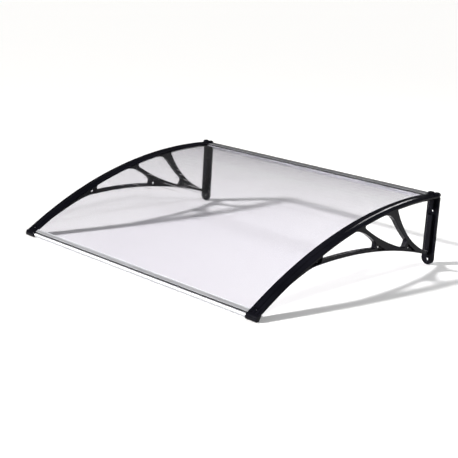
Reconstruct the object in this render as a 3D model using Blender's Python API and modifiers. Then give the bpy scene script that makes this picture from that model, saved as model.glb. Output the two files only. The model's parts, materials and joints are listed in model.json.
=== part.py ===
"""Door canopy: a clear bowed sheet on two moulded wall brackets, with an aluminium rail at front and rear.

Metres. X runs along the wall, the wall is the plane Y = 0 and the canopy reaches towards -Y, Z is up.
The origin is on the wall, at mid-width, at the middle of the rear rail's wall seal.
"""

import math

import bmesh
import bpy
from mathutils import Matrix, Vector

# General
FIT = 0.0003
BRACKET_SPACING = 1.000

# Arch: the outer edge of the cover strips is one circular arc
ARCH_RADIUS = 1.320
ARCH_CENTRE_Y = -0.0350
ARCH_TOP_Z = 0.0086
ARCH_STEPS = 28

# Sheet
SHEET_REACH = 0.7720
SHEET_THICKNESS = 0.0030
SHEET_EDGE_PLAY = 0.0005

# Cover strip, a crowned section with a raised band along its middle
STRIP_WIDTH = 0.0424
STRIP_EDGE_THICKNESS = 0.0025
STRIP_SHOULDER_RISE = 0.0012
STRIP_BEVEL_WIDTH = 0.0024
STRIP_BAND_RISE = 0.0034
STRIP_BAND_WIDTH = 0.0090
STRIP_EDGE_ROUND = 0.0016
STRIP_SHORT_OF_SHEET = 0.0120

# Arm of the bracket
ARM_WIDTH = 0.0370
ARM_EDGE_THICKNESS = 0.0016
ARM_FLANGE_DEPTH = 0.0125
ARM_FLANGE_FOOT_WIDTH = 0.0195
ARM_FENCE_OFFSET = 0.0040
ARM_SHORT_OF_SHEET = 0.0020
WEB_THICKNESS = 0.0170
WEB_DEPTH = 0.0144
WEB_EDGE_ROUND = 0.0010

# Bottom chord: its lower edge is a circular arc that runs out into the arm
CHORD_RADIUS = 1.430
CHORD_CREST_OUT = 0.4150
CHORD_DROP = 0.1316
CHORD_DEPTH = 0.0105
CHORD_BLEND_PAST_OPENING = 0.0270
CHORD_BLEND_BEND = 0.0400
CHORD_RUNOUT_BEHIND_SHEET = 0.0620

# Openings of the bracket, from the front, with distances out from the wall
FRONT_OPENING_TIP_HEIGHT = 0.0161
FRONT_OPENING_HEAD_OUT = 0.3840
FRONT_OPENING_FOOT_OUT = 0.2880
MIDDLE_OPENING_TIP_OUT = 0.3430
MIDDLE_OPENING_HEAD_OUT = 0.2238
MIDDLE_OPENING_FOOT_OUT = 0.1342
MIDDLE_OPENING_TOE_OUT = 0.1432
REAR_OPENING_HEAD_OUT = 0.1950
REAR_OPENING_FOOT_RISE = 0.0079
MIDDLE_OPENING_TIP_HEIGHT = 0.0080
FRONT_OPENING_FOOT_HEIGHT = 0.0160
MIDDLE_OPENING_FOOT_HEIGHT = 0.0220
FRONT_STRUT_LOWER_BOW = 0.0065
FRONT_STRUT_UPPER_BOW = 0.0085
REAR_STRUT_LOWER_BOW = 0.0040
REAR_STRUT_UPPER_BOW = 0.0235
CORNER_ROUND = 0.0055
TIP_ROUND = 0.0025
FRONT_HEAD_ROUND_ARCH = 0.0140
FRONT_HEAD_ROUND_STRUT = 0.0220
MIDDLE_HEAD_ROUND_ARCH = 0.0400
MIDDLE_HEAD_ROUND_STRUT = 0.0500

# Pockets that thin the web where its members meet, and the holes in them
POCKET_FLOOR = 0.0030
POCKET_RIM = 0.0045
NODE_HOLE_DIAMETER = 0.0090
GUSSET_HOLE_DIAMETER = 0.0060

# Wall plate
PLATE_WIDTH = 0.0420
PLATE_THICKNESS = 0.0064
PLATE_BELOW_CHORD = 0.0285
PLATE_EAR_WIDTH = 0.0436
RIB_DEPTH = 0.0110
LOWER_WALL_HOLE_DIAMETER = 0.0100
UPPER_WALL_HOLE_DIAMETER = 0.0085
WALL_HOLE_RAISE = 0.0165
WALL_HOLE_BELOW_ARCH = 0.0516
WALL_BOSS_DIAMETER = 0.0200
WALL_BOSS_HEIGHT = 0.0012

# Rails
RAIL_WALL = 0.0015
RAIL_SEAL_SPACE = 0.0012
FRONT_LIP_LENGTH = 0.0048
FRONT_NOSE_DIAMETER = 0.0130
FRONT_NOSE_BORE = 0.0080
FRONT_NOSE_AHEAD = 0.0114
FRONT_NOSE_DROP = 0.0044
FRONT_GROOVE_WIDTH = 0.0030
FRONT_GROOVE_DEPTH = 0.0020
REAR_LIP_LENGTH = 0.0240
REAR_SHELF_LENGTH = 0.0290
REAR_FLANGE_DEPTH = 0.0150
WALL_SEAL_THICKNESS = 0.0020
WALL_SEAL_HEIGHT = 0.0200
WALL_SEAL_RISE = 0.0018

# Glazing beads under the top lips
BEAD_WIDTH = 0.0024
BEAD_HEIGHT = 0.0027
BEAD_TONGUE = 0.0040

# Front cap
CAP_TOP_RISE = 0.0022
CAP_PAST_SHEET = 0.0122
CAP_BULGE = 0.0045
CAP_HEIGHT = 0.0170
CAP_REAR_HEIGHT = 0.0120
CAP_DEPTH = 0.0128
CAP_LIP = 0.0014
CAP_TOP_ROUND = 0.0020
CAP_BULGE_ROUND = 0.0030
CAP_BOTTOM_ROUND = 0.0045
CAP_REAR_ROUND = 0.0025
CAP_SIDE_ROUND = 0.0060
CAP_EDGE_ROUND = 0.0010
CAP_SPIGOT_LENGTH = 0.0120
COLLAR_SINK = 0.0006
COLLAR_RIB_WIDTH = 0.0040
COLLAR_RIB_RISE = 0.0016
COLLAR_RIB_PITCH = 0.0120

# Rear cap
REAR_CAP_DEPTH = 0.0120
REAR_CAP_RISE = 0.0078
REAR_CAP_NOTCH = 0.0050
REAR_CAP_PEG_DIAMETER = 0.0050
REAR_CAP_PEG_LENGTH = 0.0060

# Screws, driven up through the arm
SCREW_HEAD_DIAMETER = 0.0070
SCREW_HEAD_HEIGHT = 0.0024
SCREW_SHANK_DIAMETER = 0.0034
SCREW_REACH = 0.0030
SCREW_SINK = 0.0030
SCREW_CROSS_WIDTH = 0.0010
SCREW_CROSS_DEPTH = 0.0013
STRIP_SCREW_FROM_END = 0.0450

# Where the round of the front rail's nose starts and ends, from the direction ahead
NOSE_START = math.radians(120)
NOSE_END = math.radians(-165)

# Levels that follow from the sizes above, as radii from the arch's centre. FRONT_RAY_Y is where the ray
# through the sheet's front edge meets the arch radius
ARCH_CENTRE_Z = ARCH_TOP_Z - ARCH_RADIUS
STRIP_BASE_RADIUS = ARCH_RADIUS - STRIP_EDGE_THICKNESS
SHEET_TOP_RADIUS = STRIP_BASE_RADIUS - FIT
SHEET_BASE_RADIUS = SHEET_TOP_RADIUS - SHEET_THICKNESS
ARM_SEAT_RADIUS = SHEET_BASE_RADIUS - FIT
ARM_FENCE_RADIUS = STRIP_BASE_RADIUS - FIT
FLANGE_BASE_RADIUS = ARCH_RADIUS - ARM_FLANGE_DEPTH
WEB_BASE_RADIUS = ARCH_RADIUS - WEB_DEPTH
SHEET_MID_RADIUS = (SHEET_TOP_RADIUS + SHEET_BASE_RADIUS) / 2
CHORD_CREST_Y = -CHORD_CREST_OUT
CHORD_CREST_Z = ARCH_TOP_Z - CHORD_DROP
CHORD_CENTRE_Z = CHORD_CREST_Z - CHORD_RADIUS
FRONT_OPENING_HEAD_Y = -FRONT_OPENING_HEAD_OUT
FRONT_OPENING_FOOT_Y = -FRONT_OPENING_FOOT_OUT
MIDDLE_OPENING_TIP_Y = -MIDDLE_OPENING_TIP_OUT
MIDDLE_OPENING_HEAD_Y = -MIDDLE_OPENING_HEAD_OUT
MIDDLE_OPENING_FOOT_Y = -MIDDLE_OPENING_FOOT_OUT
MIDDLE_OPENING_TOE_Y = -MIDDLE_OPENING_TOE_OUT
REAR_OPENING_HEAD_Y = -REAR_OPENING_HEAD_OUT
FRONT_RAY_Y = ARCH_CENTRE_Y - (SHEET_REACH + ARCH_CENTRE_Y) * ARCH_RADIUS / SHEET_MID_RADIUS
STRIP_FRONT_Y = FRONT_RAY_Y + STRIP_SHORT_OF_SHEET
ARM_FRONT_Y = FRONT_RAY_Y + ARM_SHORT_OF_SHEET
CAP_FRONT_Y = -SHEET_REACH - CAP_PAST_SHEET
WALL_HOLE_HIGH_Z = ARCH_TOP_Z - WALL_HOLE_BELOW_ARCH
RIB_FRONT_Y = -PLATE_THICKNESS - RIB_DEPTH
RAIL_BACK_Y = -WALL_SEAL_THICKNESS - FIT
SHEET_REAR_Y = RAIL_BACK_Y - RAIL_WALL - SHEET_EDGE_PLAY
SHEET_HALF_WIDTH = BRACKET_SPACING / 2 - ARM_FENCE_OFFSET - SHEET_EDGE_PLAY
RAIL_HALF_LENGTH = BRACKET_SPACING / 2 - STRIP_WIDTH / 2 - FIT


def clear_scene():
    for obj in list(bpy.data.objects):
        bpy.data.objects.remove(obj, do_unlink=True)


def make_collection(name, hidden=False):
    collection = bpy.data.collections.new(name)
    bpy.context.scene.collection.children.link(collection)
    collection.hide_render = hidden
    return collection


def make_material(name, colour, roughness, metallic=0.0, alpha=1.0):
    material = bpy.data.materials.new(name)
    material.use_nodes = True
    shader = material.node_tree.nodes["Principled BSDF"]
    shader.inputs["Base Color"].default_value = (*colour, 1.0)
    shader.inputs["Roughness"].default_value = roughness
    shader.inputs["Metallic"].default_value = metallic
    shader.inputs["Alpha"].default_value = alpha
    return material


def make_object(name, mesh, collection, material=None, smooth_angle=35.0):
    obj = bpy.data.objects.new(name, mesh)
    collection.objects.link(obj)
    if material:
        mesh.materials.clear()
        mesh.materials.append(material)
        mesh.shade_smooth()
        mesh.set_sharp_from_angle(angle=math.radians(smooth_angle))
    return obj


def finish_mesh(bm, name):
    """The bmesh as a mesh, welded and with its faces pointing out."""
    bmesh.ops.remove_doubles(bm, verts=bm.verts, dist=1e-6)
    bmesh.ops.recalc_face_normals(bm, faces=bm.faces)
    mesh = bpy.data.meshes.new(name)
    bm.to_mesh(mesh)
    bm.free()
    return mesh


# Plane geometry, with points as (y, z)

def arch_point(radius, y):
    """The point of the arch circle of this radius at this distance from the wall."""
    return (y, ARCH_CENTRE_Z + math.sqrt(radius**2 - (y - ARCH_CENTRE_Y) ** 2))


def arch_angle(radius, y):
    return math.asin((y - ARCH_CENTRE_Y) / radius)


def level_y(radius, y):
    """The distance from the wall at this radius on the ray through the arch's own point at y."""
    return ARCH_CENTRE_Y + (y - ARCH_CENTRE_Y) * radius / ARCH_RADIUS


def arch_arc(radius, y_start, y_end, steps):
    start = arch_angle(radius, y_start)
    end = arch_angle(radius, y_end)
    angles = [start + (end - start) * i / steps for i in range(steps + 1)]
    return [(ARCH_CENTRE_Y + radius * math.sin(a), ARCH_CENTRE_Z + radius * math.cos(a)) for a in angles]


def chord_point(y, height=0.0):
    """A point this high above the bottom chord's lower edge."""
    radius = CHORD_RADIUS + height
    return (y, CHORD_CENTRE_Z + math.sqrt(radius**2 - (y - CHORD_CREST_Y) ** 2))


def chord_arc(y_start, y_end, height, steps):
    return [chord_point(y_start + (y_end - y_start) * i / steps, height) for i in range(steps + 1)]


def front_opening_tip_y():
    """Where the space between chord and arm has closed to the height of the front opening's tip."""
    near = CHORD_CREST_Y
    far = -SHEET_REACH
    for _ in range(40):
        y = (near + far) / 2
        space = arch_point(WEB_BASE_RADIUS, y)[1] - chord_point(y, CHORD_DEPTH)[1]
        if space > FRONT_OPENING_TIP_HEIGHT:
            near = y
        else:
            far = y
    return near


def plate_bottom_z():
    return chord_point(0.0)[1] - PLATE_BELOW_CHORD


def strip_screw_ys():
    """A screw over the middle of each opening, from the wall, then two along the arm ahead of them."""
    over = [
        (RIB_FRONT_Y + REAR_OPENING_HEAD_Y) / 2,
        (MIDDLE_OPENING_HEAD_Y + MIDDLE_OPENING_TIP_Y) / 2,
        (FRONT_OPENING_HEAD_Y + front_opening_tip_y()) / 2,
    ]
    last = STRIP_FRONT_Y + STRIP_SCREW_FROM_END
    return over + [(over[-1] + last) / 2, last]


def bowed_line(start, end, bow, steps):
    """An arc from start to end whose middle lies bow to the left of the straight line."""
    start = Vector(start)
    end = Vector(end)
    along = end - start
    left = Vector((-along.y, along.x)).normalized()
    points = []
    for i in range(steps + 1):
        t = i / steps
        points.append(tuple(start + along * t + left * bow * 4 * t * (1 - t)))
    return points


def bezier(start, control, end, steps):
    start, control, end = Vector(start), Vector(control), Vector(end)
    points = []
    for i in range(steps + 1):
        t = i / steps
        points.append(tuple(start * (1 - t) ** 2 + control * 2 * t * (1 - t) + end * t**2))
    return points


def trimmed(points, from_start, from_end):
    """The polyline without these lengths at its two ends."""
    points = [Vector(p) for p in points]
    for distance in (from_start, from_end):
        while distance > 0:
            step = (points[1] - points[0]).length
            if step > distance:
                points[0] = points[0].lerp(points[1], distance / step)
                break
            distance -= step
            points.pop(0)
        points.reverse()
    return [tuple(p) for p in points]


def rounded_loop(edges, rounds, steps=5):
    """A closed outline from edges that meet end to end, where rounds holds what each corner takes off
    the edge before it and the edge after it. Corner i lies between edge i - 1 and edge i."""
    count = len(edges)
    short = [trimmed(edges[i], rounds[i][1], rounds[(i + 1) % count][0]) for i in range(count)]
    outline = []
    for i in range(count):
        corner = bezier(short[i - 1][-1], edges[i][0], short[i][0], steps)
        outline += corner + short[i][1:-1]
    return without_repeats(outline)


def without_repeats(points):
    kept = []
    for p in points:
        if not kept or (Vector(p) - Vector(kept[-1])).length > 1e-5:
            kept.append(p)
    if (Vector(kept[0]) - Vector(kept[-1])).length < 1e-5:
        kept.pop()
    return kept


def rounded_polygon(corners, rounds, steps=4):
    """A closed outline from straight edges. A corner's round stays within the two edges beside it."""
    edges = [[corners[i], corners[(i + 1) % len(corners)]] for i in range(len(corners))]
    room = [(Vector(b) - Vector(a)).length * 0.48 for a, b in edges]
    held = [min(r, room[i - 1], room[i]) for i, r in enumerate(rounds)]
    return rounded_loop(edges, [(r, r) for r in held], steps)


def circle(centre, diameter, count):
    turn = 2 * math.pi / count
    return [
        (centre[0] + diameter / 2 * math.cos(i * turn), centre[1] + diameter / 2 * math.sin(i * turn))
        for i in range(count)
    ]


# Solids

def signed_area(outline):
    pairs = zip(outline, outline[1:] + outline[:1])
    return sum(a[0] * b[1] - b[0] * a[1] for a, b in pairs) / 2


def inset_outline(outline, distance):
    """The outline moved this far into the material, which lies to the left of its direction."""
    moved = []
    count = len(outline)
    for i in range(count):
        here = Vector(outline[i])
        before = (here - Vector(outline[i - 1])).normalized()
        after = (Vector(outline[(i + 1) % count]) - here).normalized()
        left_before = Vector((-before.y, before.x))
        left_after = Vector((-after.y, after.x))
        spread = max(1 + left_before.dot(left_after), 0.4)
        moved.append(tuple(here + (left_before + left_after) * (distance / spread)))
    return moved


def side_prism(name, outlines, x_low, x_high, edge_round=0.0, round_steps=1):
    """A solid from x_low to x_high whose shape from the side is the first outline, as (y, z) points, less
    the others. Its outer edges at both sides can be rounded."""
    loops = []
    for index, outline in enumerate(outlines):
        forward = signed_area(outline) > 0
        wanted = index == 0
        loops.append(list(outline) if forward == wanted else list(reversed(outline)))
    levels = [(x_low, 0.0), (x_high, 0.0)]
    if edge_round:
        low, high = [], []
        for k in range(round_steps + 1):
            turn = math.pi / 2 * k / round_steps
            back = edge_round * (1 - math.cos(turn))
            inset = edge_round * (1 - math.sin(turn))
            low.append((x_low + back, inset))
            high.append((x_high - back, inset))
        levels = low + high[::-1]
    bm = bmesh.new()
    caps = ([], [])
    for loop in loops:
        rings = []
        for x, inset in levels:
            shape = inset_outline(loop, inset) if inset else loop
            rings.append([bm.verts.new((x, y, z)) for y, z in shape])
        for lower, upper in zip(rings, rings[1:]):
            for i in range(len(loop)):
                bm.faces.new((lower[i - 1], lower[i], upper[i], upper[i - 1]))
        for cap, ring in zip(caps, (rings[0], rings[-1])):
            cap += [bm.edges.get((ring[i - 1], ring[i])) for i in range(len(ring))]
    for cap in caps:
        bmesh.ops.triangle_fill(bm, use_beauty=True, use_dissolve=False, edges=cap, normal=(1, 0, 0))
    return finish_mesh(bm, name)


def arc_sweep(name, section, y_start, y_end, steps=ARCH_STEPS):
    """A section of (x, radius) points swept along the arch between two distances from the wall."""
    start = arch_angle(ARCH_RADIUS, y_start)
    end = arch_angle(ARCH_RADIUS, y_end)
    bm = bmesh.new()
    ring = [
        bm.verts.new((x, ARCH_CENTRE_Y + r * math.sin(start), ARCH_CENTRE_Z + r * math.cos(start)))
        for x, r in section
    ]
    face = bm.faces.new(ring)
    bmesh.ops.spin(
        bm,
        geom=[face] + list(face.edges) + ring,
        cent=(0, ARCH_CENTRE_Y, ARCH_CENTRE_Z),
        axis=(1, 0, 0),
        angle=start - end,
        steps=steps,
        use_duplicate=False,
    )
    return finish_mesh(bm, name)


def cylinder(name, start, end, diameter, count=16):
    """A closed cylinder between two points."""
    start, end = Vector(start), Vector(end)
    along = end - start
    bm = bmesh.new()
    bmesh.ops.create_cone(
        bm,
        cap_ends=True,
        segments=count,
        radius1=diameter / 2,
        radius2=diameter / 2,
        depth=along.length,
        matrix=Matrix.Translation((start + end) / 2) @ along.to_track_quat("Z", "X").to_matrix().to_4x4(),
    )
    return finish_mesh(bm, name)


def block(name, low, high):
    bm = bmesh.new()
    size = [high[i] - low[i] for i in range(3)]
    middle = [(high[i] + low[i]) / 2 for i in range(3)]
    bmesh.ops.create_cube(bm, size=1.0, matrix=Matrix.Translation(middle) @ Matrix.Diagonal((*size, 1.0)))
    return finish_mesh(bm, name)


def joined(name, meshes):
    """Separate shells in one mesh, for a cutter."""
    bm = bmesh.new()
    for mesh in meshes:
        bm.from_mesh(mesh)
    mesh = bpy.data.meshes.new(name)
    bm.to_mesh(mesh)
    bm.free()
    return mesh


def baked(obj):
    """The evaluated mesh of an object, which is then removed."""
    graph = bpy.context.evaluated_depsgraph_get()
    mesh = bpy.data.meshes.new_from_object(obj.evaluated_get(graph))
    mesh.name = obj.name
    bpy.data.objects.remove(obj, do_unlink=True)
    return mesh


def combined(name, base, others, operation, helpers):
    """The base mesh after a Boolean with each of the others in turn."""
    obj = bpy.data.objects.new(name, base)
    bpy.context.scene.collection.objects.link(obj)
    made = []
    for index, mesh in enumerate(others):
        helper = make_object(f"{name}_helper_{index}", mesh, helpers)
        helper.hide_render = True
        helper.display_type = "WIRE"
        modifier = obj.modifiers.new(f"{operation} {index}", "BOOLEAN")
        modifier.operation = operation
        modifier.object = helper
        modifier.solver = "EXACT"
        made.append(helper)
    mesh = baked(obj)
    for helper in made:
        bpy.data.objects.remove(helper, do_unlink=True)
    return mesh


def mirrored(mesh, name):
    """The mesh reflected in the middle plane X = 0, with its faces still pointing out."""
    bm = bmesh.new()
    bm.from_mesh(mesh)
    bm.transform(Matrix.Diagonal((-1, 1, 1, 1)))
    bmesh.ops.reverse_faces(bm, faces=bm.faces)
    copy = bpy.data.meshes.new(name)
    bm.to_mesh(copy)
    bm.free()
    return copy


# Bracket, built on the right-hand side

def front_opening():
    tip_y = front_opening_tip_y()
    tip_low = chord_point(tip_y, CHORD_DEPTH)
    head = arch_point(WEB_BASE_RADIUS, FRONT_OPENING_HEAD_Y)
    foot_low = chord_point(FRONT_OPENING_FOOT_Y, CHORD_DEPTH)
    foot_high = (foot_low[0], foot_low[1] + FRONT_OPENING_FOOT_HEIGHT)
    edges = [
        [tip_low, arch_point(WEB_BASE_RADIUS, tip_y)],
        arch_arc(WEB_BASE_RADIUS, tip_y, FRONT_OPENING_HEAD_Y, 8),
        bowed_line(head, foot_high, FRONT_STRUT_LOWER_BOW, 8),
        [foot_high, foot_low],
        chord_arc(FRONT_OPENING_FOOT_Y, tip_y, CHORD_DEPTH, 10),
    ]
    small = (CORNER_ROUND, CORNER_ROUND)
    return rounded_loop(edges, [small, small, (FRONT_HEAD_ROUND_ARCH, FRONT_HEAD_ROUND_STRUT), small, small])


def middle_opening():
    tip_high = arch_point(WEB_BASE_RADIUS, MIDDLE_OPENING_TIP_Y)
    tip_low = (tip_high[0], tip_high[1] - MIDDLE_OPENING_TIP_HEIGHT)
    head = arch_point(WEB_BASE_RADIUS, MIDDLE_OPENING_HEAD_Y)
    foot = chord_point(MIDDLE_OPENING_FOOT_Y, CHORD_DEPTH)
    foot_high = (foot[0], foot[1] + MIDDLE_OPENING_FOOT_HEIGHT)
    toe = chord_point(MIDDLE_OPENING_TOE_Y, CHORD_DEPTH)
    edges = [
        [tip_low, tip_high],
        arch_arc(WEB_BASE_RADIUS, MIDDLE_OPENING_TIP_Y, MIDDLE_OPENING_HEAD_Y, 7),
        bowed_line(head, foot_high, -REAR_STRUT_LOWER_BOW, 8),
        [foot_high, toe],
        bowed_line(toe, tip_low, FRONT_STRUT_UPPER_BOW, 12),
    ]
    small = (CORNER_ROUND, CORNER_ROUND)
    tip = (TIP_ROUND, TIP_ROUND)
    low = (CORNER_ROUND, MIDDLE_OPENING_TIP_HEIGHT * 0.45)
    head_round = (MIDDLE_HEAD_ROUND_ARCH, MIDDLE_HEAD_ROUND_STRUT)
    return rounded_loop(edges, [low, tip, head_round, small, small])


def rear_opening_foot():
    low = chord_point(RIB_FRONT_Y, CHORD_DEPTH)
    return (low[0], low[1] + REAR_OPENING_FOOT_RISE - CHORD_DEPTH)


def rear_opening():
    head = arch_point(WEB_BASE_RADIUS, REAR_OPENING_HEAD_Y)
    foot = rear_opening_foot()
    edges = [
        arch_arc(WEB_BASE_RADIUS, REAR_OPENING_HEAD_Y, RIB_FRONT_Y, 7),
        [arch_point(WEB_BASE_RADIUS, RIB_FRONT_Y), foot],
        bowed_line(foot, head, REAR_STRUT_UPPER_BOW, 14),
    ]
    small = (CORNER_ROUND, CORNER_ROUND)
    return rounded_loop(edges, [(TIP_ROUND, TIP_ROUND), small, small])


def web_outline():
    """The outer edge of the flat web: chord, run-out into the arm, and back inside the arm to the wall."""
    inside_plate_y = -PLATE_THICKNESS / 2
    inside_arm_radius = (FLANGE_BASE_RADIUS + ARM_SEAT_RADIUS) / 2
    blend_start_y = front_opening_tip_y() - CHORD_BLEND_PAST_OPENING
    blend_end_y = -SHEET_REACH + CHORD_RUNOUT_BEHIND_SHEET
    chord = chord_arc(inside_plate_y, blend_start_y, 0.0, 18)
    start = Vector(chord[-1])
    end = Vector(arch_point(WEB_BASE_RADIUS, blend_end_y))
    slope = (start - Vector(chord[-2])).normalized()
    blend = bezier(start, start + slope * CHORD_BLEND_BEND, end, 8)
    front_y = ARM_FRONT_Y + 0.0010
    front = arch_arc(WEB_BASE_RADIUS, blend_end_y, level_y(WEB_BASE_RADIUS, front_y), 4)
    back = arch_arc(inside_arm_radius, level_y(inside_arm_radius, front_y), inside_plate_y, ARCH_STEPS)
    return without_repeats(chord + blend[1:] + front[1:] + back)


def flange_section():
    """The arm's section: a seat for the sheet on the inner side, a fence, and a raised outer side."""
    centre = BRACKET_SPACING / 2
    inner = -ARM_WIDTH / 2
    outer = ARM_WIDTH / 2
    edge = ARM_SEAT_RADIUS - ARM_EDGE_THICKNESS
    foot = ARM_FLANGE_FOOT_WIDTH / 2
    points = [
        (inner, ARM_SEAT_RADIUS),
        (-ARM_FENCE_OFFSET, ARM_SEAT_RADIUS),
        (-ARM_FENCE_OFFSET, ARM_FENCE_RADIUS),
        (outer, ARM_FENCE_RADIUS),
        (outer, edge),
        (foot, FLANGE_BASE_RADIUS),
        (-foot, FLANGE_BASE_RADIUS),
        (inner, edge),
    ]
    return [(centre + x, r) for x, r in points]


def pocket_outlines():
    """Rounded triangles inside the places where chord, struts and arm meet."""
    rim = POCKET_RIM
    chord_top = CHORD_DEPTH
    foot = FRONT_OPENING_FOOT_Y
    low = chord_point(foot + 2 * rim, rim)
    front_node = [
        low,
        chord_point(foot + 0.0520, rim),
        (foot + 0.0200, chord_point(foot + 0.0200, chord_top)[1] + rim),
        (foot + 1.6 * rim, chord_point(foot, chord_top)[1] + FRONT_OPENING_FOOT_HEIGHT * 0.72),
    ]
    heel = MIDDLE_OPENING_FOOT_Y
    rear_node = [
        chord_point(heel + rim, rim),
        chord_point(heel + 0.0500, rim),
        (heel + 0.0190, chord_point(heel + 0.0190, chord_top)[1] + 1.8 * rim),
        (heel + 1.5 * rim, chord_point(heel, chord_top)[1] + MIDDLE_OPENING_FOOT_HEIGHT * 0.58),
    ]
    tip = front_opening_tip_y()
    run_out = [
        chord_point(tip - 0.0550, rim),
        chord_point(tip - rim, rim),
        (tip - rim, arch_point(WEB_BASE_RADIUS, tip - rim)[1] - rim),
        (tip - 0.0200, arch_point(WEB_BASE_RADIUS, tip - 0.0200)[1] - rim),
    ]
    return [
        rounded_polygon(corners, [0.0028] * len(corners), 3) for corners in (front_node, rear_node, run_out)
    ]


def screw_frame(y):
    """The foot of a screw's axis on the arm's underside, and the direction up through the arm."""
    angle = arch_angle(ARCH_RADIUS, y)
    up = Vector((0.0, math.sin(angle), math.cos(angle)))
    centre = Vector((BRACKET_SPACING / 2, ARCH_CENTRE_Y, ARCH_CENTRE_Z))
    return centre + up * WEB_BASE_RADIUS, up


def front_cap_screw_y():
    return (STRIP_FRONT_Y + ARM_FRONT_Y) / 2


def bracket_mesh(helpers):
    centre = BRACKET_SPACING / 2
    half_web = WEB_THICKNESS / 2
    outlines = [web_outline(), front_opening(), middle_opening(), rear_opening()]
    web = side_prism("web", outlines, centre - half_web, centre + half_web, WEB_EDGE_ROUND)
    flange = arc_sweep("flange", flange_section(), -FIT, ARM_FRONT_Y)
    plate_top = arch_point(ARM_SEAT_RADIUS, 0.0)[1] - FIT
    ear_radius = PLATE_EAR_WIDTH / 2
    ear_z = plate_bottom_z() + ear_radius
    hole_low = plate_bottom_z() + WALL_HOLE_RAISE
    hole_high = WALL_HOLE_HIGH_Z
    plate_low = (centre - PLATE_WIDTH / 2, -PLATE_THICKNESS, ear_z)
    plate = block("plate", plate_low, (centre + PLATE_WIDTH / 2, 0, plate_top))
    ear = cylinder("ear", (centre, -PLATE_THICKNESS, ear_z), (centre, 0, ear_z), PLATE_EAR_WIDTH, 40)
    boss_front = -PLATE_THICKNESS - WALL_BOSS_HEIGHT
    bosses = [
        cylinder("boss", (centre, boss_front, z), (centre, -PLATE_THICKNESS / 2, z), WALL_BOSS_DIAMETER, 28)
        for z in (hole_low, hole_high)
    ]
    mould = combined("mould", flange, [web, plate, ear], "UNION", helpers)
    clearing = cylinder(
        "clearing",
        (centre, RIB_FRONT_Y - 0.01, hole_high),
        (centre, -PLATE_THICKNESS * 0.75, hole_high),
        WALL_BOSS_DIAMETER + 0.004,
        28,
    )
    mould = combined("mould", mould, [clearing], "DIFFERENCE", helpers)
    mould = combined("mould", mould, bosses, "UNION", helpers)
    outlines = pocket_outlines()
    far = centre + half_web + 0.01
    near = centre - half_web - 0.01
    pockets = [side_prism("pocket", [o], centre + POCKET_FLOOR / 2, far) for o in outlines]
    pockets += [side_prism("pocket", [o], near, centre - POCKET_FLOOR / 2) for o in outlines]
    node_y = FRONT_OPENING_FOOT_Y + 0.0200
    gusset_y = MIDDLE_OPENING_FOOT_Y + 0.0190
    run_out_y = front_opening_tip_y() - 0.0160
    web_holes = []
    for y, lift, diameter in (
        (node_y, POCKET_RIM + 0.0075, NODE_HOLE_DIAMETER),
        (gusset_y, POCKET_RIM + 0.0060, GUSSET_HOLE_DIAMETER),
        (run_out_y, POCKET_RIM + 0.0060, NODE_HOLE_DIAMETER),
    ):
        z = chord_point(y, lift)[1]
        web_holes.append(cylinder("web_hole", (near, y, z), (far, y, z), diameter, 16))
    wall_holes = [
        cylinder("wall_hole", (centre, -0.05, z), (centre, 0.01, z), diameter, 20)
        for z, diameter in ((hole_low, LOWER_WALL_HOLE_DIAMETER), (hole_high, UPPER_WALL_HOLE_DIAMETER))
    ]
    screw_holes = []
    for y in strip_screw_ys() + [front_cap_screw_y()]:
        foot, up = screw_frame(y)
        head_room = SCREW_HEAD_DIAMETER + 4 * FIT
        shank_room = SCREW_SHANK_DIAMETER + 4 * FIT
        screw_holes.append(cylinder("sink", foot - up * 0.012, foot + up * SCREW_SINK, head_room, 16))
        screw_holes.append(cylinder("shank", foot + up * SCREW_SINK * 0.5, foot + up * 0.02, shank_room, 12))
    peg_foot, peg_up = rear_peg_frame()
    peg_hole = cylinder(
        "peg_hole", peg_foot + peg_up * 0.01, peg_foot - peg_up * (REAR_CAP_PEG_LENGTH + FIT),
        REAR_CAP_PEG_DIAMETER + 2 * FIT, 16,
    )
    cutters = [joined("pockets", pockets), joined("web_holes", web_holes + wall_holes + [peg_hole])]
    cutters += [joined("sinks", screw_holes[0::2]), joined("shanks", screw_holes[1::2])]
    return combined("bracket", mould, cutters, "DIFFERENCE", helpers)


# Strip, sheet, rails and seals

def strip_section():
    half = STRIP_WIDTH / 2
    base = STRIP_BASE_RADIUS
    band = STRIP_BAND_WIDTH / 2
    edge = STRIP_EDGE_ROUND
    top = ARCH_RADIUS
    right = [
        (half, base),
        (half, top - edge),
        (half - edge * 0.3, top - edge * 0.3),
        (half - edge, top),
        (band + STRIP_BEVEL_WIDTH, top + STRIP_SHOULDER_RISE),
        (band, top + STRIP_BAND_RISE - 0.0002),
        (band - 0.0006, top + STRIP_BAND_RISE),
    ]
    left = [(-x, r) for x, r in reversed(right)]
    centre = BRACKET_SPACING / 2
    return [(centre + x, r) for x, r in right + left]


def strip_mesh(helpers):
    strip = arc_sweep("strip", strip_section(), -REAR_CAP_DEPTH - 2 * FIT, STRIP_FRONT_Y)
    holes = []
    for y in strip_screw_ys():
        foot, up = screw_frame(y)
        holes.append(screw_shank_hole(foot, up))
    return combined("strip", strip, [joined("holes", holes)], "DIFFERENCE", helpers)


def screw_shank_hole(foot, up):
    tip = WEB_DEPTH + screw_tip_level()
    return cylinder("hole", foot, foot + up * (tip + FIT), SCREW_SHANK_DIAMETER + 2 * FIT, 12)


def screw_tip_level():
    """How far the screw's tip lies above the arch radius."""
    return STRIP_BAND_RISE - SCREW_REACH * 0.6


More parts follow.
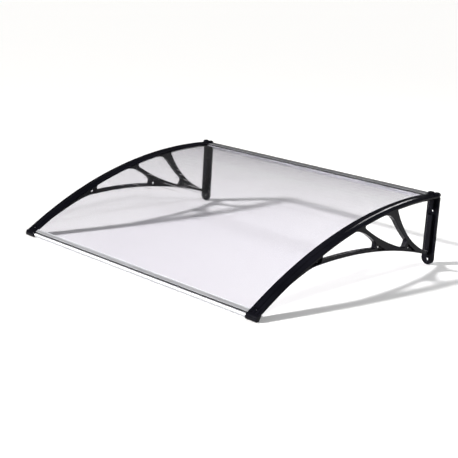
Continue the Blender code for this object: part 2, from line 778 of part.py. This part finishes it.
def sheet_mesh():
    section = [
        (-SHEET_HALF_WIDTH, SHEET_BASE_RADIUS),
        (SHEET_HALF_WIDTH, SHEET_BASE_RADIUS),
        (SHEET_HALF_WIDTH, SHEET_TOP_RADIUS),
        (-SHEET_HALF_WIDTH, SHEET_TOP_RADIUS),
    ]
    return arc_sweep("sheet", section, SHEET_REAR_Y, FRONT_RAY_Y, ARCH_STEPS + 4)


def front_frame(t, n):
    """A point t ahead of the sheet's front edge along the arch, and n above the sheet's middle."""
    angle = arch_angle(ARCH_RADIUS, FRONT_RAY_Y)
    edge = Vector((math.sin(angle), math.cos(angle))) * SHEET_MID_RADIUS
    ahead = Vector((-math.cos(angle), math.sin(angle)))
    out = Vector((math.sin(angle), math.cos(angle)))
    point = Vector((ARCH_CENTRE_Y, ARCH_CENTRE_Z)) + edge + ahead * t + out * n
    return tuple(point)


def front_groove():
    """The groove between the front rail's lip and nose: its rear side, front side, floor and front edge."""
    nose = FRONT_NOSE_DIAMETER / 2
    ahead = FRONT_NOSE_AHEAD + nose * math.cos(NOSE_START)
    crest = -FRONT_NOSE_DROP + nose * math.sin(NOSE_START)
    return ahead - FRONT_GROOVE_WIDTH, ahead, crest - FRONT_GROOVE_DEPTH, crest


def front_rail_mesh():
    half = SHEET_THICKNESS / 2
    slot_low = -half - FIT
    slot_high = half + RAIL_SEAL_SPACE
    lip = FRONT_LIP_LENGTH
    nose = FRONT_NOSE_DIAMETER / 2
    nose_t = FRONT_NOSE_AHEAD
    nose_n = -FRONT_NOSE_DROP
    top_n = slot_high + RAIL_WALL
    low_n = slot_low - RAIL_WALL
    arc = []
    for i in range(23):
        a = NOSE_START + (NOSE_END - NOSE_START) * i / 22
        arc.append((nose_t + nose * math.cos(a), nose_n + nose * math.sin(a)))
    groove_t, groove_end, groove_n, crest = front_groove()
    corners = [
        (-lip, slot_high),
        (-lip, top_n - 0.0005),
        (-lip + 0.0005, top_n),
        (groove_t - 0.0005, top_n),
        (groove_t, top_n - 0.0005),
        (groove_t, groove_n),
        (groove_end, groove_n),
    ]
    tail = [
        (nose_t - nose * 0.9, low_n),
        (-lip, low_n),
        (-lip, slot_low),
        (SHEET_EDGE_PLAY, slot_low),
        (SHEET_EDGE_PLAY, slot_high),
    ]
    outline = [front_frame(t, n) for t, n in corners + arc + tail]
    bore = circle(front_frame(nose_t, nose_n), FRONT_NOSE_BORE, 20)
    return side_prism("front_rail", [outline, bore], -RAIL_HALF_LENGTH, RAIL_HALF_LENGTH)


def front_trim_mesh():
    """The dark strip that lies in the front rail's groove."""
    rear, front, floor, crest = front_groove()
    edge = 0.0005
    corners = [
        (rear + FIT, floor + FIT),
        (rear + FIT, crest),
        (rear + FIT + edge, crest + edge),
        (front - FIT - edge, crest + edge),
        (front - FIT, crest),
        (front - FIT, floor + FIT),
    ]
    outline = [front_frame(t, n) for t, n in corners]
    return side_prism("front_trim", [outline], -RAIL_HALF_LENGTH, RAIL_HALF_LENGTH)


def bead_outline(place):
    """A glazing bead at a lip's edge, with a tongue under the lip. place maps (t, n) to (y, z), with t
    towards the lip's root from its edge and n up from the sheet's top."""
    gap = FIT
    tongue = RAIL_SEAL_SPACE - 2 * FIT
    points = [
        (BEAD_TONGUE, gap),
        (BEAD_TONGUE, gap + tongue),
        (-gap, gap + tongue),
        (-gap, BEAD_HEIGHT - 0.0004),
        (-gap - BEAD_WIDTH * 0.35, BEAD_HEIGHT),
        (-gap - BEAD_WIDTH * 0.75, BEAD_HEIGHT * 0.75),
        (-gap - BEAD_WIDTH, gap + 0.0003),
        (-gap - BEAD_WIDTH * 0.9, gap),
    ]
    return [place(t, n) for t, n in points]


def front_bead_mesh():
    half = SHEET_THICKNESS / 2
    outline = bead_outline(lambda t, n: front_frame(-FRONT_LIP_LENGTH + t, half + n))
    return side_prism("front_bead", [outline], -RAIL_HALF_LENGTH, RAIL_HALF_LENGTH)


def rear_sheet_top():
    """The highest level of the sheet's top inside the rear rail."""
    return max(arch_point(SHEET_TOP_RADIUS, y)[1] for y in (SHEET_REAR_Y, RAIL_BACK_Y - REAR_LIP_LENGTH))


def rear_sheet_base():
    return min(arch_point(SHEET_BASE_RADIUS, y)[1] for y in (SHEET_REAR_Y, RAIL_BACK_Y - REAR_SHELF_LENGTH))


def rear_rail_top():
    return rear_sheet_top() + RAIL_SEAL_SPACE + RAIL_WALL


def rear_rail_mesh():
    back = RAIL_BACK_Y
    slot_high = rear_sheet_top() + RAIL_SEAL_SPACE
    slot_low = rear_sheet_base() - FIT
    top = rear_rail_top()
    shelf = slot_low - RAIL_WALL
    bottom = shelf - REAR_FLANGE_DEPTH
    lip_y = back - REAR_LIP_LENGTH
    shelf_y = back - REAR_SHELF_LENGTH
    root_y = back - RAIL_WALL
    outline = [
        (back, bottom),
        (back, top),
        (lip_y + 0.0004, top),
        (lip_y, top - 0.0004),
        (lip_y, slot_high),
        (root_y, slot_high),
        (root_y, slot_low),
        (shelf_y, slot_low),
        (shelf_y, shelf - 0.0020),
        (shelf_y + RAIL_WALL, shelf - 0.0020),
        (shelf_y + RAIL_WALL, shelf),
        (root_y - 0.0010, shelf),
        (root_y, shelf - 0.0010),
        (root_y, bottom),
    ]
    return side_prism("rear_rail", [outline], -RAIL_HALF_LENGTH, RAIL_HALF_LENGTH)


def rear_bead_mesh():
    lip_y = RAIL_BACK_Y - REAR_LIP_LENGTH
    outline = bead_outline(lambda t, n: (lip_y + t, rear_sheet_top() + n))
    return side_prism("rear_bead", [outline], -RAIL_HALF_LENGTH, RAIL_HALF_LENGTH)


def wall_seal_mesh():
    top = rear_rail_top() + WALL_SEAL_RISE
    bottom = top - WALL_SEAL_HEIGHT
    outline = [
        (0.0, bottom),
        (0.0, top),
        (-WALL_SEAL_THICKNESS * 0.7, top),
        (-WALL_SEAL_THICKNESS, top - 0.0006),
        (-WALL_SEAL_THICKNESS, bottom + 0.0006),
        (-WALL_SEAL_THICKNESS * 0.7, bottom),
    ]
    return side_prism("wall_seal", [outline], -RAIL_HALF_LENGTH, RAIL_HALF_LENGTH)


# Caps

def collar_section():
    centre = BRACKET_SPACING / 2
    half = STRIP_WIDTH / 2
    top = ARCH_RADIUS - COLLAR_SINK
    points = [(half, STRIP_BASE_RADIUS), (half, top)]
    rib_half = COLLAR_RIB_WIDTH / 2
    for rib in (COLLAR_RIB_PITCH, 0.0, -COLLAR_RIB_PITCH):
        points += [
            (rib + rib_half, top),
            (rib + rib_half * 0.6, top + COLLAR_RIB_RISE),
            (rib - rib_half * 0.6, top + COLLAR_RIB_RISE),
            (rib - rib_half, top),
        ]
    points += [(-half, top), (-half, STRIP_BASE_RADIUS)]
    return [(centre + x, r) for x, r in points]


def front_cap_mesh(helpers):
    centre = BRACKET_SPACING / 2
    half = STRIP_WIDTH / 2
    sheet_side = SHEET_THICKNESS / 2 + FIT
    crown = arch_point(ARCH_RADIUS, CAP_FRONT_Y)[1] + CAP_TOP_RISE
    floor = crown - CAP_HEIGHT
    front = CAP_FRONT_Y - CAP_BULGE
    angle = arch_angle(ARCH_RADIUS, FRONT_RAY_Y)
    behind = (arch_angle(ARCH_RADIUS, ARM_FRONT_Y) - angle) * ARCH_RADIUS - FIT
    corners = [
        (front + CAP_DEPTH, crown - CAP_REAR_HEIGHT),
        front_frame(-behind, -sheet_side),
        front_frame(SHEET_EDGE_PLAY, -sheet_side),
        front_frame(SHEET_EDGE_PLAY, sheet_side + CAP_LIP),
        (CAP_FRONT_Y, crown),
        (front, crown - CAP_HEIGHT * 0.38),
        (front + CAP_BULGE * 0.25, floor),
        (front + CAP_DEPTH * 0.75, floor),
    ]
    rounds = [CAP_REAR_ROUND, 0, 0, 0, CAP_TOP_ROUND, CAP_BULGE_ROUND, CAP_BOTTOM_ROUND, CAP_REAR_ROUND]
    outline = rounded_polygon(corners, rounds, 5)
    nose = side_prism("nose", [outline], centre - half, centre + half, CAP_EDGE_ROUND, 3)
    face = [
        (centre - half - FIT, floor),
        (centre + half + FIT, floor),
        (centre + half + FIT, crown + CAP_HEIGHT),
        (centre - half - FIT, crown + CAP_HEIGHT),
    ]
    face = rounded_polygon(face, [CAP_SIDE_ROUND, CAP_SIDE_ROUND, 0, 0], 6)
    mould = side_prism("face", [face], -front - CAP_DEPTH - CAP_HEIGHT, -front + CAP_BULGE)
    mould.transform(Matrix(((0, 1, 0, 0), (-1, 0, 0, 0), (0, 0, 1, 0), (0, 0, 0, 1))))
    nose = combined("nose", nose, [mould], "INTERSECT", helpers)
    collar = arc_sweep("collar", collar_section(), STRIP_FRONT_Y - FIT, FRONT_RAY_Y - 0.0020, 4)
    bore = front_frame(FRONT_NOSE_AHEAD, -FRONT_NOSE_DROP)
    spigot = cylinder(
        "spigot",
        (centre - half - CAP_SPIGOT_LENGTH, *bore),
        (centre - half + 0.004, *bore),
        FRONT_NOSE_BORE - 2 * FIT,
        20,
    )
    cap = combined("cap", nose, [collar, spigot], "UNION", helpers)
    foot, up = screw_frame(front_cap_screw_y())
    return combined("cap", cap, [screw_shank_hole(foot, up)], "DIFFERENCE", helpers)


def rear_peg_frame():
    """Where the rear cap's peg enters the raised outer side of the arm, and the direction up."""
    y = -REAR_CAP_DEPTH / 2 - FIT
    angle = arch_angle(ARM_FENCE_RADIUS, y)
    x = BRACKET_SPACING / 2 + (ARM_WIDTH / 2 - ARM_FENCE_OFFSET) / 2
    up = Vector((0.0, math.sin(angle), math.cos(angle)))
    return Vector((x, ARCH_CENTRE_Y, ARCH_CENTRE_Z)) + up * ARM_FENCE_RADIUS, up


def rear_cap_mesh(helpers):
    centre = BRACKET_SPACING / 2
    half = STRIP_WIDTH / 2
    base = arch_point(STRIP_BASE_RADIUS, -REAR_CAP_DEPTH)[1]
    base = max(base, arch_point(STRIP_BASE_RADIUS, -FIT)[1])
    top = ARCH_TOP_Z + REAR_CAP_RISE
    corners = [
        (centre - half, base),
        (centre - half, top - 0.0045),
        (centre - half + 0.0045, top),
        (centre - 0.0045, top),
        (centre, top - REAR_CAP_NOTCH),
        (centre + 0.0045, top),
        (centre + half - 0.0045, top),
        (centre + half, top - 0.0045),
        (centre + half, base),
    ]
    outline = rounded_polygon(corners, [0, 0.002, 0.002, 0.002, 0.001, 0.002, 0.002, 0.002, 0], 3)
    body = side_prism("rear_cap", [outline], FIT, FIT + REAR_CAP_DEPTH, CAP_EDGE_ROUND, 2)
    body.transform(Matrix(((0, 1, 0, 0), (-1, 0, 0, 0), (0, 0, 1, 0), (0, 0, 0, 1))))
    foot, up = rear_peg_frame()
    peg = cylinder("peg", foot + up * 0.004, foot - up * REAR_CAP_PEG_LENGTH, REAR_CAP_PEG_DIAMETER, 16)
    return combined("rear_cap", body, [peg], "UNION", helpers)


# Screws

def screw_mesh(helpers):
    """A pan-head screw that stands on the origin, head down, with a cross recess."""
    head = SCREW_HEAD_DIAMETER / 2
    shank = SCREW_SHANK_DIAMETER / 2
    length = WEB_DEPTH + screw_tip_level() - (SCREW_SINK - SCREW_HEAD_HEIGHT - FIT)
    profile = [
        (0.0, length),
        (shank * 0.25, length),
        (shank, length - 0.0025),
        (shank, SCREW_HEAD_HEIGHT),
        (head, SCREW_HEAD_HEIGHT),
        (head, SCREW_HEAD_HEIGHT * 0.45),
        (head * 0.72, 0.0),
        (0.0, 0.0),
    ]
    bm = bmesh.new()
    verts = [bm.verts.new((x, 0.0, z)) for x, z in profile]
    for a, b in zip(verts, verts[1:]):
        bm.edges.new((a, b))
    mesh = bpy.data.meshes.new("screw")
    bm.to_mesh(mesh)
    bm.free()
    obj = bpy.data.objects.new("screw", mesh)
    bpy.context.scene.collection.objects.link(obj)
    turn = obj.modifiers.new("Turn", "SCREW")
    turn.steps = 14
    turn.render_steps = 14
    turn.use_merge_vertices = True
    turn.merge_threshold = 0.00005
    body = baked(obj)
    arm = head * 0.55
    half = SCREW_CROSS_WIDTH / 2
    deep = SCREW_CROSS_DEPTH
    bars = [
        block("bar", (-arm, -half, -0.001), (arm, half, deep)),
        block("bar", (-half, -arm, -0.001), (half, arm, deep)),
    ]
    return combined("screw", body, bars, "DIFFERENCE", helpers)


def place_screw(mesh, name, y, side, collection, material):
    foot, up = screw_frame(y)
    obj = make_object(name, mesh, collection, material)
    start = foot + up * (SCREW_SINK - SCREW_HEAD_HEIGHT - FIT)
    start.x *= side
    obj.location = start
    obj.rotation_euler = (-math.atan2(up.y, up.z), 0.0, 0.0)
    return obj


def main():
    clear_scene()
    parts = make_collection("door_canopy")
    helpers = make_collection("cutters", hidden=True)
    black = make_material("black_moulding", (0.012, 0.012, 0.015), 0.22)
    clear = make_material("clear_polycarbonate", (0.90, 0.92, 0.94), 0.04, alpha=0.25)
    aluminium = make_material("anodised_aluminium", (0.78, 0.79, 0.82), 0.28, metallic=1.0)
    rubber = make_material("black_rubber", (0.02, 0.02, 0.022), 0.65)
    pale_seal = make_material("pale_silicone", (0.62, 0.64, 0.68), 0.45)
    steel = make_material("zinc_plated_steel", (0.62, 0.63, 0.65), 0.35, metallic=1.0)

    right_side = {
        "bracket": (bracket_mesh(helpers), black),
        "cover_strip": (strip_mesh(helpers), black),
        "front_cap": (front_cap_mesh(helpers), black),
        "rear_cap": (rear_cap_mesh(helpers), black),
    }
    for name, (mesh, material) in right_side.items():
        make_object(f"{name}_left", mirrored(mesh, f"{name}_left"), parts, material)
        make_object(f"{name}_right", mesh, parts, material)

    make_object("polycarbonate_sheet", sheet_mesh(), parts, clear)
    make_object("front_rail", front_rail_mesh(), parts, aluminium)
    make_object("rear_rail", rear_rail_mesh(), parts, aluminium)
    make_object("front_rail_trim", front_trim_mesh(), parts, rubber)
    make_object("front_rail_seal", front_bead_mesh(), parts, pale_seal)
    make_object("rear_rail_seal", rear_bead_mesh(), parts, rubber)
    make_object("wall_seal", wall_seal_mesh(), parts, rubber)

    screw = screw_mesh(helpers)
    for side_name, side in (("left", -1), ("right", 1)):
        for number, y in enumerate(strip_screw_ys(), start=1):
            place_screw(screw, f"strip_screw_{side_name}_{number}", y, side, parts, steel)
        place_screw(screw, f"front_cap_screw_{side_name}", front_cap_screw_y(), side, parts, steel)


main()
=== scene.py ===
"""Door canopy on a pale floor, seen from the photograph's place, in metres in the part's own frame."""

import json
import math

import bmesh
import bpy
from mathutils import Matrix, Vector

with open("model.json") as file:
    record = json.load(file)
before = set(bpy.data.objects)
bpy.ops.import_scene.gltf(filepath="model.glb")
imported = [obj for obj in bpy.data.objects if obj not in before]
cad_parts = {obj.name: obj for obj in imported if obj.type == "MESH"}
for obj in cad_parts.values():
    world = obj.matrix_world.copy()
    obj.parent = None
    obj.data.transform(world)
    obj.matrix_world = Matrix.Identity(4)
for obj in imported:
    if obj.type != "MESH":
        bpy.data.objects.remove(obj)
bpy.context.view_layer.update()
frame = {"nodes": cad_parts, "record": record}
nodes = frame["nodes"]

# Camera: the place, angles and focal length that the photograph's lines give
IMAGE_SIZE = 458
CAMERA_PLACE = (2.240, -2.658, 0.651)
CAMERA_YAW = math.radians(44.50)
CAMERA_PITCH = math.radians(14.25)
CAMERA_ROLL = math.radians(3.47)
FOCAL_PIXELS = 1041.0
SENSOR_MM = 36.0
CLIP_START = 0.05
CLIP_END = 200.0

# Sun
SUN_TOWARDS = (-0.457, -0.710, 0.535)
SUN_STRENGTH = 5.4
SUN_ANGLE = math.radians(6.0)
SUN_COLOUR = (1.0, 0.99, 0.97)

# Rim light: it lies where the right cover strip's bevel mirrors it to the camera
RIM_ENDS = ((0.90, 1.60, 1.60), (1.24, 0.85, 1.89))
RIM_AIM = (0.50, -0.25, -0.02)
RIM_POWER = 30.0
RIM_WIDTH = 0.18

# Studio: how bright the world is, and at which height of the ray's direction that changes
HORIZON_LEVEL = 0.80
SURROUND_LEVEL = 0.05
OVERHEAD_LEVEL = 0.34
HORIZON_FADE = 0.06
HORIZON_TOP = 0.10
OVERHEAD_START = 0.80
OVERHEAD_FULL = 0.90
STUDIO_TINT = (0.985, 0.99, 1.0)
WHITE = (1.0, 1.0, 1.0, 1.0)
NO_BOUNCE_YET = 0.5

# Floor
FLOOR_TONE = 0.84
FLOOR_LIFT = 0.10
FLOOR_REACH = 60.0
FLOOR_GAP = 0.0002
PLATE_REACH = 0.02

# Noise values between which a pattern goes from its one end to its other
NOISE_LOW = 0.35
NOISE_HIGH = 0.65


def camera_axes():
    """The camera's right, up and forward directions."""
    forward = Vector((
        -math.sin(CAMERA_YAW) * math.cos(CAMERA_PITCH),
        math.cos(CAMERA_YAW) * math.cos(CAMERA_PITCH),
        -math.sin(CAMERA_PITCH),
    ))
    level = Vector((math.cos(CAMERA_YAW), math.sin(CAMERA_YAW), 0.0))
    above = level.cross(forward)
    right = level * math.cos(CAMERA_ROLL) + above * math.sin(CAMERA_ROLL)
    up = above * math.cos(CAMERA_ROLL) - level * math.sin(CAMERA_ROLL)
    return right, up, forward


def make_camera():
    data = bpy.data.cameras.new("camera")
    data.sensor_width = SENSOR_MM
    data.lens = FOCAL_PIXELS * SENSOR_MM / IMAGE_SIZE
    data.clip_start = CLIP_START
    data.clip_end = CLIP_END
    camera = bpy.data.objects.new("camera", data)
    bpy.context.scene.collection.objects.link(camera)
    right, up, forward = camera_axes()
    turn = Matrix((right, up, -forward)).transposed()
    camera.matrix_world = Matrix.Translation(CAMERA_PLACE) @ turn.to_4x4()
    bpy.context.scene.camera = camera


def combine(tree, operation, first, second):
    """The output of a math node that takes a socket, and a socket or a number."""
    made = tree.nodes.new("ShaderNodeMath")
    made.operation = operation
    tree.links.new(first, made.inputs[0])
    if isinstance(second, float):
        made.inputs[1].default_value = second
    else:
        tree.links.new(second, made.inputs[1])
    return made.outputs["Value"]


class Shader:
    """A material's node tree with short ways to add nodes and links."""

    def __init__(self, name):
        self.material = bpy.data.materials.new(name)
        self.material.use_nodes = True
        self.tree = self.material.node_tree
        self.principled = self.tree.nodes["Principled BSDF"]
        self.output = self.tree.nodes["Material Output"]
        self.place = None

    def node(self, kind, **settings):
        made = self.tree.nodes.new(kind)
        for key, value in settings.items():
            setattr(made, key, value)
        return made

    def link(self, source, target):
        self.tree.links.new(source, target)

    def set(self, **values):
        for key, value in values.items():
            self.principled.inputs[key.replace("_", " ")].default_value = value

    def position(self, stretch=(1.0, 1.0, 1.0)):
        """The object's own position, scaled along each axis to stretch a pattern."""
        if self.place is None:
            self.place = self.node("ShaderNodeTexCoord")
        mapping = self.node("ShaderNodeMapping")
        mapping.inputs["Scale"].default_value = stretch
        self.link(self.place.outputs["Object"], mapping.inputs["Vector"])
        return mapping.outputs["Vector"]

    def noise(self, scale, detail=2.0, roughness=0.5, stretch=(1.0, 1.0, 1.0)):
        made = self.node("ShaderNodeTexNoise")
        made.inputs["Scale"].default_value = scale
        made.inputs["Detail"].default_value = detail
        made.inputs["Roughness"].default_value = roughness
        self.link(self.position(stretch), made.inputs["Vector"])
        return made.outputs["Fac"]

    def ramp(self, value, low, high):
        """A noise value mapped to low to high."""
        made = self.node("ShaderNodeMapRange")
        made.inputs["From Min"].default_value = NOISE_LOW
        made.inputs["From Max"].default_value = NOISE_HIGH
        made.inputs["To Min"].default_value = low
        made.inputs["To Max"].default_value = high
        self.link(value, made.inputs["Value"])
        return made.outputs["Result"]

    def blend(self, factor, first, second):
        made = self.node("ShaderNodeMix", data_type="RGBA")
        self.link(factor, made.inputs["Factor"])
        made.inputs["A"].default_value = (*first, 1.0)
        made.inputs["B"].default_value = (*second, 1.0)
        return made.outputs["Result"]

    def bump(self, heights, distance):
        """Bump from one or more (height, strength) pairs, the last one on top."""
        below = None
        for height, strength in heights:
            made = self.node("ShaderNodeBump")
            made.inputs["Strength"].default_value = strength
            made.inputs["Distance"].default_value = distance
            self.link(height, made.inputs["Height"])
            if below is not None:
                self.link(below, made.inputs["Normal"])
            below = made.outputs["Normal"]
        self.link(below, self.principled.inputs["Normal"])

    def tint(self, pattern, first, second):
        """Base colour between two tones."""
        colour = self.blend(self.ramp(pattern, 0.0, 1.0), first, second)
        self.link(colour, self.principled.inputs["Base Color"])

    def rough(self, pattern, low, high):
        """Roughness between two values."""
        self.link(self.ramp(pattern, low, high), self.principled.inputs["Roughness"])


def black_moulding():
    """Glossy black injection moulding: faint orange peel, fine grain, and a gloss that varies a little."""
    s = Shader("black_moulding")
    s.set(IOR=1.5, Metallic=0.0, Specular_IOR_Level=0.07)
    s.tint(s.noise(9.0, 3.0), (0.0028, 0.0028, 0.0048), (0.0060, 0.0060, 0.0090))
    s.rough(s.noise(26.0, 4.0, 0.6), 0.11, 0.21)
    s.bump([(s.noise(160.0, 1.0), 0.10), (s.noise(1400.0, 2.0), 0.05)], 0.0004)
    return s.material


def clear_sheet():
    """Clear polycarbonate: both faces reflect, light passes, and the faces are slightly wavy.

    It is plainly see-through to shadow rays and after a diffuse bounce, or the floor would get the sun twice.
    """
    s = Shader("clear_polycarbonate")
    s.set(IOR=1.585, Metallic=0.0)
    s.principled.inputs["Transmission Weight"].default_value = 1.0
    s.tint(s.noise(3.0, 2.0), (0.845, 0.830, 0.880), (0.865, 0.852, 0.895))
    s.rough(s.noise(14.0, 3.0, 0.6, (1.0, 0.35, 1.0)), 0.015, 0.045)
    s.bump([(s.noise(5.0, 1.0, 0.4, (0.5, 1.6, 1.0)), 0.03)], 0.0010)
    shadow = s.node("ShaderNodeBsdfTransparent")
    shadow.inputs["Color"].default_value = (0.975, 0.97, 0.985, 1.0)
    ray = s.node("ShaderNodeLightPath")
    mix = s.node("ShaderNodeMixShader")
    plain = combine(s.tree, "MAXIMUM", ray.outputs["Is Shadow Ray"], ray.outputs["Diffuse Depth"])
    s.link(plain, mix.inputs["Fac"])
    s.link(s.principled.outputs["BSDF"], mix.inputs[1])
    s.link(shadow.outputs["BSDF"], mix.inputs[2])
    s.link(mix.outputs["Shader"], s.output.inputs["Surface"])
    return s.material


def drawn_aluminium():
    """Anodised aluminium with the fine lines that the die leaves along the rail."""
    s = Shader("anodised_aluminium")
    s.set(Metallic=1.0)
    lines = s.noise(900.0, 3.0, 0.6, (0.012, 1.0, 1.0))
    s.tint(s.noise(7.0, 3.0), (0.60, 0.605, 0.635), (0.67, 0.675, 0.70))
    s.rough(lines, 0.40, 0.49)
    s.bump([(lines, 0.10)], 0.0003)
    return s.material


def black_rubber():
    """Matt black rubber with a fine grain."""
    s = Shader("black_rubber")
    s.set(IOR=1.5, Metallic=0.0, Specular_IOR_Level=0.15)
    grain = s.noise(700.0, 3.0)
    s.tint(s.noise(30.0, 3.0), (0.008, 0.008, 0.010), (0.016, 0.016, 0.018))
    s.rough(grain, 0.55, 0.75)
    s.bump([(grain, 0.25)], 0.0003)
    return s.material


def pale_silicone():
    """A pale bead with a soft mould texture."""
    s = Shader("pale_silicone")
    s.set(IOR=1.41, Metallic=0.0)
    s.tint(s.noise(40.0, 3.0), (0.60, 0.62, 0.66), (0.68, 0.70, 0.74))
    s.rough(s.noise(500.0, 2.0), 0.38, 0.55)
    s.bump([(s.noise(900.0, 2.0), 0.12)], 0.0002)
    return s.material


def zinc_plated_steel():
    """Bright zinc plating: clouded, slightly blue, with faint turning lines."""
    s = Shader("zinc_plated_steel")
    s.set(Metallic=1.0)
    s.tint(s.noise(260.0, 3.0), (0.52, 0.54, 0.58), (0.70, 0.70, 0.70))
    s.rough(s.noise(600.0, 2.0), 0.24, 0.42)
    s.bump([(s.noise(1800.0, 2.0), 0.15)], 0.0002)
    return s.material


def make_world():
    """A studio: a wide soft light overhead, dim sides and a pale horizon.

    The camera sees plain white instead, also through the clear sheet, but not in a reflection.
    """
    world = bpy.data.worlds.new("studio")
    bpy.context.scene.world = world
    world.use_nodes = True
    tree = world.node_tree
    tree.nodes.clear()
    add, link = tree.nodes.new, tree.links.new
    output = add("ShaderNodeOutputWorld")
    place = add("ShaderNodeTexCoord")
    parts = add("ShaderNodeSeparateXYZ")
    link(place.outputs["Generated"], parts.inputs["Vector"])
    levels = add("ShaderNodeValToRGB")
    levels.color_ramp.interpolation = "EASE"
    link(parts.outputs["Z"], levels.inputs["Fac"])
    stops = levels.color_ramp.elements
    tones = [
        (0.0, HORIZON_LEVEL),
        (HORIZON_FADE, HORIZON_LEVEL),
        (HORIZON_TOP, SURROUND_LEVEL),
        (OVERHEAD_START, SURROUND_LEVEL),
        (OVERHEAD_FULL, OVERHEAD_LEVEL),
    ]
    while len(stops) < len(tones):
        stops.new(0.5)
    for stop, (height, level) in zip(stops, tones):
        stop.position = height
        stop.color = (*(level * tint for tint in STUDIO_TINT), 1.0)
    studio = add("ShaderNodeBackground")
    link(levels.outputs["Color"], studio.inputs["Color"])
    white = add("ShaderNodeBackground")
    white.inputs["Color"].default_value = WHITE
    ray = add("ShaderNodeLightPath")
    seen = combine(tree, "MAXIMUM", ray.outputs["Is Camera Ray"], ray.outputs["Is Transmission Ray"])
    bounces = combine(tree, "ADD", ray.outputs["Diffuse Depth"], ray.outputs["Glossy Depth"])
    direct = combine(tree, "MULTIPLY", seen, combine(tree, "LESS_THAN", bounces, NO_BOUNCE_YET))
    mix = add("ShaderNodeMixShader")
    link(direct, mix.inputs["Fac"])
    link(studio.outputs["Background"], mix.inputs[1])
    link(white.outputs["Background"], mix.inputs[2])
    link(mix.outputs["Shader"], output.inputs["Surface"])


def make_lights():
    """The sun, and the rim light that faces the right cover strip."""
    data = bpy.data.lights.new("key", "SUN")
    data.energy = SUN_STRENGTH
    data.angle = SUN_ANGLE
    data.color = SUN_COLOUR
    key = bpy.data.objects.new("key", data)
    bpy.context.scene.collection.objects.link(key)
    key.rotation_mode = "QUATERNION"
    key.rotation_quaternion = Vector(SUN_TOWARDS).to_track_quat("Z", "Y")

    start, end = (Vector(place) for place in RIM_ENDS)
    middle = (start + end) / 2
    away = (middle - Vector(RIM_AIM)).normalized()
    along = (end - start).normalized()
    across = away.cross(along).normalized()
    along = across.cross(away)
    data = bpy.data.lights.new("rim", "AREA")
    data.shape = "RECTANGLE"
    data.energy = RIM_POWER
    data.size = (end - start).length
    data.size_y = RIM_WIDTH
    rim = bpy.data.objects.new("rim", data)
    bpy.context.scene.collection.objects.link(rim)
    rim.matrix_world = Matrix.Translation(middle) @ Matrix((along, across, away)).transposed().to_4x4()


def floor_slope():
    """The floor's height at the wall plane and its slope, from what the canopy stands on."""
    foot = min(v.co.z for v in nodes["bracket_left"].data.vertices if v.co.y > -PLATE_REACH)
    slope = max((foot - v.co.z) / -v.co.y for v in nodes["front_cap_left"].data.vertices)
    return foot, slope


def make_floor():
    """A pale floor under the canopy's four points of rest."""
    foot, slope = floor_slope()
    bm = bmesh.new()
    corners = [(x * FLOOR_REACH, y * FLOOR_REACH) for x, y in ((-1, -1), (1, -1), (1, 1), (-1, 1))]
    bm.faces.new([bm.verts.new((x, y, foot + slope * y - FLOOR_GAP)) for x, y in corners])
    mesh = bpy.data.meshes.new("floor")
    bm.to_mesh(mesh)
    bm.free()
    floor = bpy.data.objects.new("floor", mesh)
    bpy.context.scene.collection.objects.link(floor)
    s = Shader("floor")
    s.set(Roughness=0.9, Base_Color=(FLOOR_TONE, FLOOR_TONE, FLOOR_TONE, 1.0))
    ray = s.node("ShaderNodeLightPath")
    through = combine(s.tree, "MAXIMUM", ray.outputs["Is Transmission Ray"], ray.outputs["Is Glossy Ray"])
    seen = combine(s.tree, "MAXIMUM", ray.outputs["Is Camera Ray"], through)
    s.principled.inputs["Emission Color"].default_value = WHITE
    s.link(combine(s.tree, "MULTIPLY", seen, FLOOR_LIFT), s.principled.inputs["Emission Strength"])
    mesh.materials.append(s.material)


def dress_nodes():
    """Every CAD node gets its slot's finished material."""
    finishes = {
        "black_moulding": black_moulding(),
        "clear_polycarbonate": clear_sheet(),
        "anodised_aluminium": drawn_aluminium(),
        "black_rubber": black_rubber(),
        "pale_silicone": pale_silicone(),
        "zinc_plated_steel": zinc_plated_steel(),
    }
    for part in frame["record"]["subparts"]:
        mesh = nodes[part["node"]].data
        mesh.materials.clear()
        mesh.materials.append(finishes[part["material_slot"]])


make_camera()
make_world()
make_lights()
make_floor()
dress_nodes()

scene = bpy.context.scene
scene.view_settings.view_transform = "Standard"
